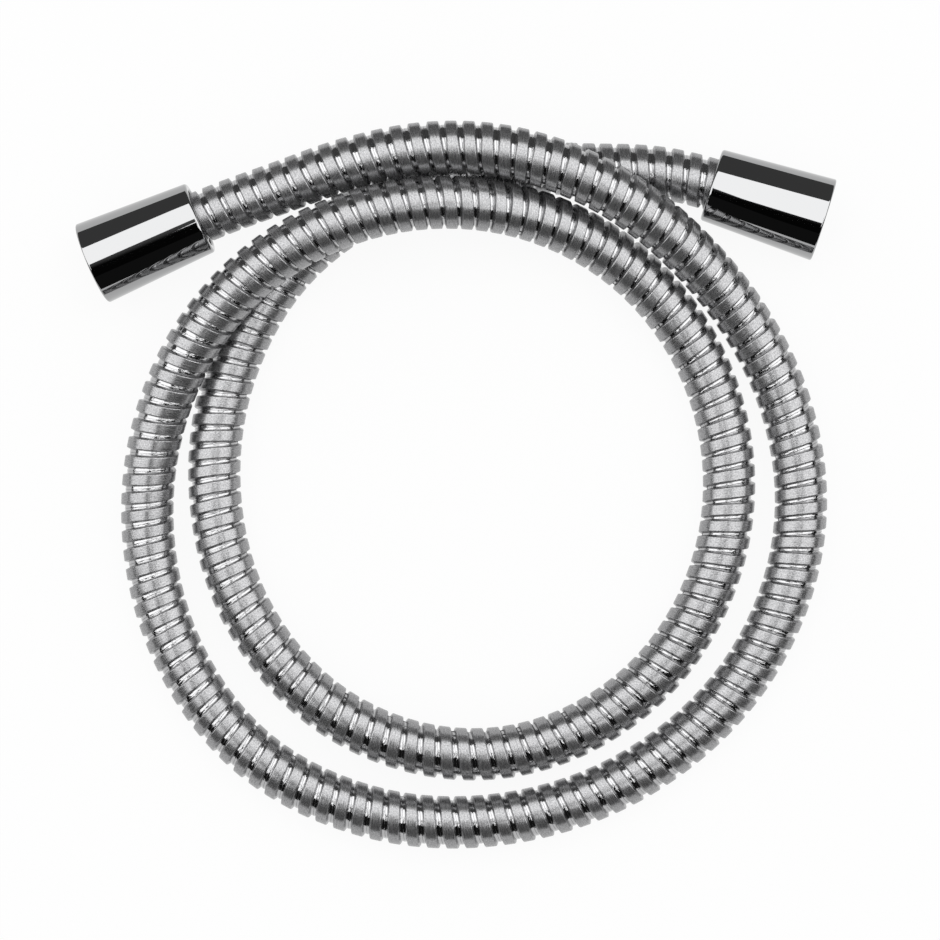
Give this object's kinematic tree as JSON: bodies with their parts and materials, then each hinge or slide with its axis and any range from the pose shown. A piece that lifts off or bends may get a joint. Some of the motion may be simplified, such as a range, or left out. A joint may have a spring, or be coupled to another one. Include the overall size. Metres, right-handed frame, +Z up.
{
  "type": "shower hose",
  "caption": "Flexible metal shower hose lying in a loose coil, with a smooth conical swivel nut on each end for standard half-inch pipe threads.",
  "frame": {"origin": "on the surface that the coil lies on, under the middle of the whole hose's box", "axes": "+Z up from the surface, +X from the left nut towards the right nut, +Y from the middle of the coil towards the two nuts"},
  "size_m": [0.2106, 0.2011, 0.0299],
  "materials": {
    "casing_strip": "satin wound strip with polished grooves",
    "nut_chrome": "polished",
    "washer_rubber": "matt",
    "fitting_brass": "turned",
    "ferrule_steel": "plain",
    "tube_rubber": "matt"
  },
  "bodies": {
    "hose": {"hose_casing": "casing_strip", "inner_tube": "tube_rubber", "left_barbed_nipple": "fitting_brass", "left_crimp_ferrule": "ferrule_steel", "right_barbed_nipple": "fitting_brass", "right_crimp_ferrule": "ferrule_steel"},
    "left_nut": {"left_conical_nut": "nut_chrome", "left_seal_washer": "washer_rubber"},
    "right_nut": {"right_conical_nut": "nut_chrome", "right_seal_washer": "washer_rubber"}
  },
  "joints": [
    {"name": "left_nut_turn", "type": "hinge", "parent": "hose", "child": "left_nut", "pos_m": [-0.10096, 0.06199, 0.01173], "axis": [0.9206, 0.387, 0.0523], "continuous": true},
    {"name": "right_nut_turn", "type": "hinge", "parent": "hose", "child": "right_nut", "pos_m": [0.10183, 0.07402, 0.01174], "axis": [-0.9511, 0.3054, -0.0458], "continuous": true}
  ]
}
